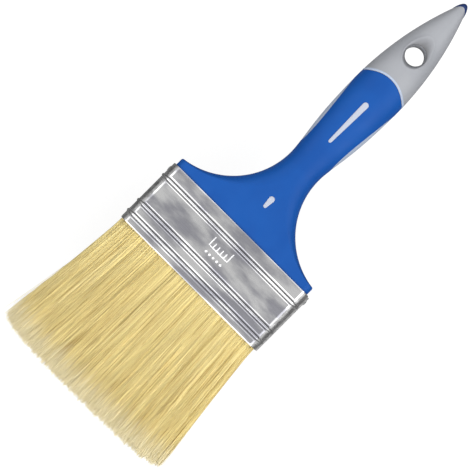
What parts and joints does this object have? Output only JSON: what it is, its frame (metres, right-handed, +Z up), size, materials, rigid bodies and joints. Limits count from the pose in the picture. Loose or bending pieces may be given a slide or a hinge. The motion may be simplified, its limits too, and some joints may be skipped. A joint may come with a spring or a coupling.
{
  "type": "paint brush",
  "caption": "Wide flat paint brush with a two-colour moulded handle, a hang hole, a beaded stainless ferrule and cream bristles that bend and spring back.",
  "frame": {"origin": "on the surface that the brush lies on, under the middle of its box", "axes": "+Y along the brush to the tip of the handle, +X across its width, +Z up through its thickness"},
  "size_m": [0.0928, 0.236, 0.0169],
  "materials": {
    "grey_plastic": "matte",
    "blue_grip": "satin",
    "pale_inlay": "satin",
    "stainless": "satin",
    "pin_steel": "satin",
    "resin": "gloss",
    "spacer_wood": "matte",
    "bristle": "satin"
  },
  "bodies": {
    "handle": {"handle_spine": "grey_plastic", "hanging_end": "grey_plastic", "grip_sleeve": "blue_grip", "tip_cap": "blue_grip", "long_inlay_front": "pale_inlay", "long_inlay_back": "pale_inlay", "short_inlay_front": "pale_inlay", "short_inlay_back": "pale_inlay", "side_strip_left": "grey_plastic", "side_strip_right": "grey_plastic", "ferrule": "stainless", "ferrule_pins": "pin_steel", "resin_plug": "resin", "spacer_front": "spacer_wood", "spacer_back": "spacer_wood", "roots_front": "bristle", "roots_middle": "bristle", "roots_back": "bristle"},
    "bristles": {"bristles_front": "bristle", "bristles_middle": "bristle", "bristles_back": "bristle"}
  },
  "joints": [
    {"name": "bristle_flex", "type": "hinge", "parent": "handle", "child": "bristles", "pos_m": [0, -0.0515, 0.00845], "axis": [-1, 0, 0], "range_deg": [-30, 30], "stiffness_Nm_per_rad": 1}
  ]
}
